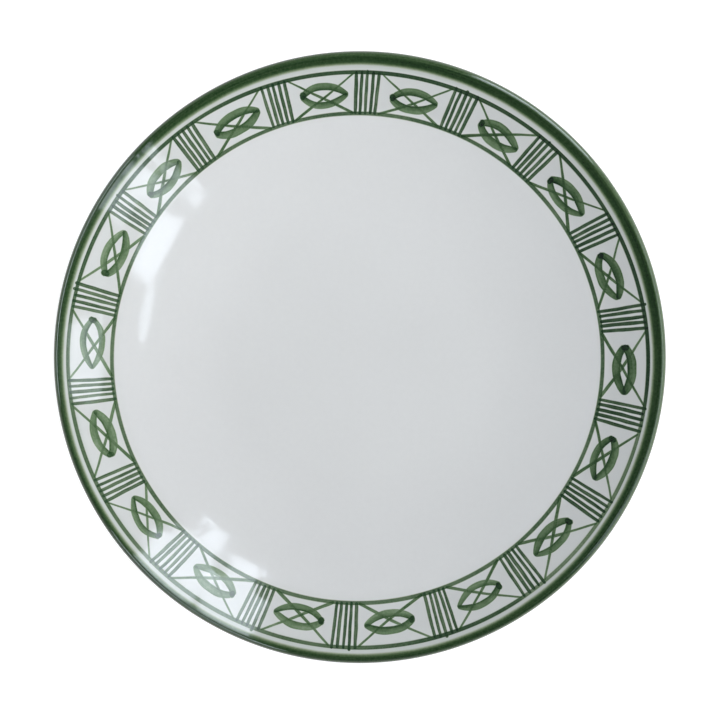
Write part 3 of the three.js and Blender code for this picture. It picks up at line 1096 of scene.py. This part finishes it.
# ---- floor, light and camera

FLOOR_SIZE = 24.0
FLOOR_Z = -0.0002
FLOOR_GREYS = [(NOISE_LOW, (0.435,) * 3), (NOISE_HIGH, (0.45,) * 3)]
FLOOR_GLOW = 0.74
SKY_LOW, SKY_TOP = (0.62, 0.63, 0.64), (0.25, 0.255, 0.26)
CAMERA_HEIGHT = 1.3440
CAMERA_PLACE = (0.00006, -0.00128, CAMERA_HEIGHT)
CAMERA_LENS = 150
COOL, WARM = (0.81, 0.90, 1.0), (1.0, 0.985, 0.965)


def floor_material():
    material, tree = new_material("floor")
    place = tree.nodes.new("ShaderNodeTexCoord").outputs["Object"]
    shader = add(tree, "BsdfPrincipled", Roughness=0.9)
    shader.inputs["Emission Color"].default_value = (1, 1, 1, 1)
    shader.inputs["Emission Strength"].default_value = FLOOR_GLOW
    colour = ramp_node(tree, noise_node(tree, place, 3, 3), FLOOR_GREYS)
    tree.links.new(colour, shader.inputs["Base Color"])
    finish(tree, shader)
    return material


def add_floor():
    size, z = FLOOR_SIZE, FLOOR_Z
    corners = [(-size, -size, z), (size, -size, z), (size, size, z), (-size, size, z)]
    mesh = bpy.data.meshes.new("Floor")
    mesh.from_pydata(corners, [], [(0, 1, 2, 3)])
    mesh.materials.append(floor_material())
    floor = bpy.data.objects.new("Floor", mesh)
    bpy.context.scene.collection.objects.link(floor)


def add_world():
    world = bpy.data.worlds.new("studio")
    bpy.context.scene.world = world
    world.use_nodes = True
    tree = node_tree(world)
    direction = tree.nodes.new("ShaderNodeTexCoord").outputs["Generated"]
    split = add(tree, "SeparateXYZ")
    tree.links.new(direction, split.inputs[0])
    sky = ramp_node(tree, split.outputs["Z"], [(0.0, SKY_LOW), (0.10, SKY_LOW), (0.5, SKY_TOP)], smooth=True)
    shade = add(tree, "Background", Strength=1.0)
    tree.links.new(sky, shade.inputs["Color"])
    out = tree.nodes.new("ShaderNodeOutputWorld")
    tree.links.new(shade.outputs[0], out.inputs["Surface"])


def mirror_ray(azimuth, slope):
    """Where the wall at this azimuth, where it slopes so many degrees, mirrors the camera to.

    A slope below zero is a place on the outer side of the lip.
    """
    a, t = math.radians(azimuth), math.radians(slope)
    if slope > 0:
        r, z = WELL_RADIUS + WALL_CURVE * math.sin(t), WALL_CENTRE_Z - WALL_CURVE * math.cos(t)
    else:
        r, z = LIP_CENTRE_R, LIP_CENTRE_Z + LIP_ACROSS
    point = Vector((r * math.sin(a), r * math.cos(a), z)) * MM
    normal = Vector((-math.sin(a) * math.sin(t), -math.cos(a) * math.sin(t), math.cos(t)))
    seen = (Vector((0, 0, CAMERA_HEIGHT)) - point).normalized()
    return point, (2 * normal.dot(seen) * normal - seen).normalized()


def add_lamp(name, light, glossy=True):
    lamp = bpy.data.objects.new(name, light)
    lamp.visible_camera = False
    lamp.visible_glossy = glossy
    bpy.context.scene.collection.objects.link(lamp)
    return lamp


def panel_light(name, width, height, radiance, colour):
    light = bpy.data.lights.new(name, "AREA")
    light.shape = "RECTANGLE"
    light.size, light.size_y = width, height
    light.energy = radiance * math.pi * width * height
    light.color = colour
    return light


def softbox(name, azimuths, slopes, radiance, distance=1.6, shines=True):
    """A rectangular light that the wall or the lip mirrors between two azimuths and two slopes."""
    azimuth, slope = sum(azimuths) / 2, sum(slopes) / 2
    point, ray = mirror_ray(azimuth, slope)
    centre = point + ray * distance
    ends = [p + d * distance for p, d in (mirror_ray(a, slope) for a in azimuths)]
    tops = [p + d * distance for p, d in (mirror_ray(azimuth, s) for s in slopes)]
    across = ends[1] - ends[0]
    lamp = add_lamp(name, panel_light(name, across.length, (tops[1] - tops[0]).length, radiance, COOL))
    lamp.visible_diffuse = shines
    x = (across - ray * across.dot(ray)).normalized()
    lamp.matrix_world = Matrix.Translation(centre) @ Matrix((x, ray.cross(x), ray)).transposed().to_4x4()


# The window's panes: name, azimuths and slopes of the wall that mirror each, and its radiance.
WINDOWS = [
    ("Window_a1", (201.5, 213.5), (17.0, 25.0), 7.8),
    ("Window_a2", (203.5, 212.5), (13.6, 17.0), 7.8),
    ("Window_a3", (214.6, 228.0), (17.0, 25.0), 7.8),
    ("Window_a4", (214.8, 226.5), (14.8, 17.0), 7.8),
    ("Window_a5", (215.5, 222.0), (12.2, 14.8), 7.8),
    ("Window_b", (261.0, 277.5), (17.0, 21.0), 4.4),
    ("Window_c1", (290.0, 306.5), (12.1, 15.2), 6.8),
    ("Window_c2", (273.0, 290.0), (11.2, 12.2), 5),
    ("Window_c3", (306.5, 311.5), (15.0, 23.0), 6.2),
    ("Window_c4", (313.0, 315.5), (12.0, 22.0), 6.0),
    ("Window_c5", (300.0, 306.0), (15.2, 18.2), 2.5),
    ("Window_c6", (300.0, 306.0), (18.4, 24.0), 5.0),
]
# Cards for the lip's outer side to mirror, in the same terms.
LIP_CARDS = [
    ("Lip_card_top", (22.0, 50.0), (-36.0, -23.0), 13.0),
    ("Lip_card_right", (58.0, 138.0), (-34.0, -24.0), 5.0),
    ("Lip_card_left", (260.0, 314.0), (-28.5, -22.5), 14.0),
    ("Lip_card_low", (194.0, 236.0), (-28.5, -22.5), 14.0),
]
CARD_DISTANCE = 3.0
SIDE_SIZE, SIDE_RADIANCE, SIDE_DISTANCE = 1.3, 2.05, 1.8
SIDE_TURN, SIDE_RISE = math.radians(80), math.radians(28)
TOP_POWER = 71
TOP_HEIGHT = 2.0
TOP_SPREAD = math.radians(48)
TOP_AIM = Vector((-0.40, 0.40, 0))


def add_lights():
    for window in WINDOWS:
        softbox(*window)
    for card in LIP_CARDS:
        softbox(*card, distance=CARD_DISTANCE, shines=False)
    side_light()
    top_light()


def aim(lamp, direction):
    """Turns a lamp to shine against a direction."""
    lamp.rotation_mode = "QUATERNION"
    lamp.rotation_quaternion = direction.to_track_quat("Z", "Y")


def side_light():
    """A broad soft light low on the right, which shades the wall of the plate from side to side."""
    light = panel_light("Side_fill", SIDE_SIZE, SIDE_SIZE, SIDE_RADIANCE, WARM)
    lamp = add_lamp("Side_fill", light, glossy=False)
    across = math.cos(SIDE_RISE)
    towards = Vector((math.sin(SIDE_TURN) * across, math.cos(SIDE_TURN) * across, math.sin(SIDE_RISE)))
    lamp.location = towards * SIDE_DISTANCE
    aim(lamp, towards)


def top_light():
    """A broad lamp overhead, turned to the upper left, that fades across the plate and isn't mirrored."""
    light = bpy.data.lights.new("Top_soft", "SPOT")
    light.energy = TOP_POWER
    light.spot_size = TOP_SPREAD
    light.spot_blend = 1.0
    light.shadow_soft_size = 0.4
    lamp = add_lamp("Top_soft", light, glossy=False)
    lamp.location = (0, 0, TOP_HEIGHT)
    aim(lamp, lamp.location - TOP_AIM)


def add_camera():
    data = bpy.data.cameras.new("Camera")
    data.sensor_width = 36
    data.lens = CAMERA_LENS
    data.dof.use_dof = False
    camera = bpy.data.objects.new("Camera", data)
    camera.location = CAMERA_PLACE
    bpy.context.scene.collection.objects.link(camera)
    bpy.context.scene.camera = camera


add_floor()
add_world()
add_lights()
add_camera()
scene = bpy.context.scene
scene.view_settings.view_transform = "Standard"
scene.view_settings.look = "None"
